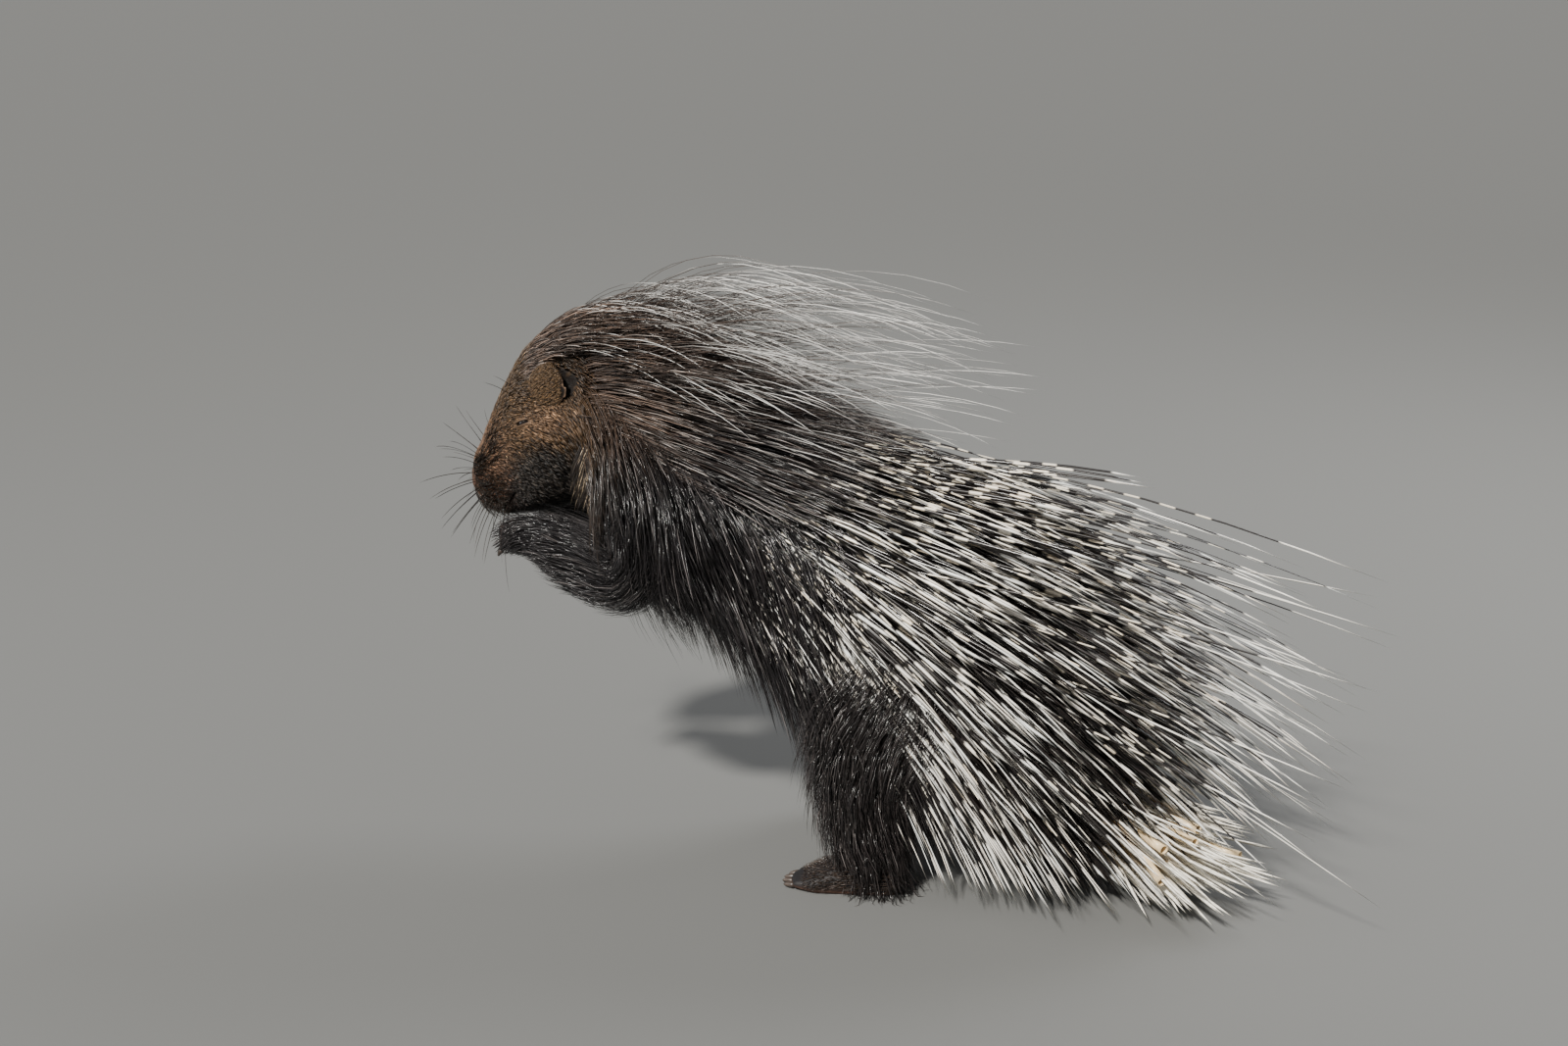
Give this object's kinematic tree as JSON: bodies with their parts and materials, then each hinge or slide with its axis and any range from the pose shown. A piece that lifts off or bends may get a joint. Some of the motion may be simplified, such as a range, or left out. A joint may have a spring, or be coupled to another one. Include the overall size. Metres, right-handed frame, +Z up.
{
  "type": "crested porcupine",
  "caption": "Life-size still model of a crested porcupine reared up on its hind feet, forepaws raised, with crest, banded quills and white tail brush.",
  "frame": {"origin": "on the floor under the middle of the whole animal's box, quill tips and whiskers counted in", "axes": "+Z up, the animal faces -X and its left side is towards -Y"},
  "size_m": [0.9575, 0.343, 0.6057],
  "materials": {
    "face_fur": "short brown fur with a slight sheen",
    "crest_bristle": "long brown bristles with pale ends",
    "black_bristle": "glossy coarse black bristles",
    "banded_quill": "smooth quills banded black and cream",
    "white_quill": "smooth cream-white quills",
    "foot_skin": "dark bare skin with horn claws",
    "eye": "wet dark gloss"
  },
  "bodies": {
    "root": {"head": "face_fur", "eye_left": "eye", "eye_right": "eye", "ear_left": "face_fur", "ear_right": "face_fur", "neck": "crest_bristle", "shoulders": "black_bristle", "torso": "banded_quill", "tail": "white_quill", "upper_arm_left": "black_bristle", "upper_arm_right": "black_bristle", "forearm_left": "black_bristle", "forearm_right": "black_bristle", "paw_left": "foot_skin", "paw_right": "foot_skin", "thigh_left": "black_bristle", "thigh_right": "black_bristle", "shank_left": "black_bristle", "shank_right": "black_bristle", "foot_left": "foot_skin", "foot_right": "foot_skin"}
  },
  "joints": []
}
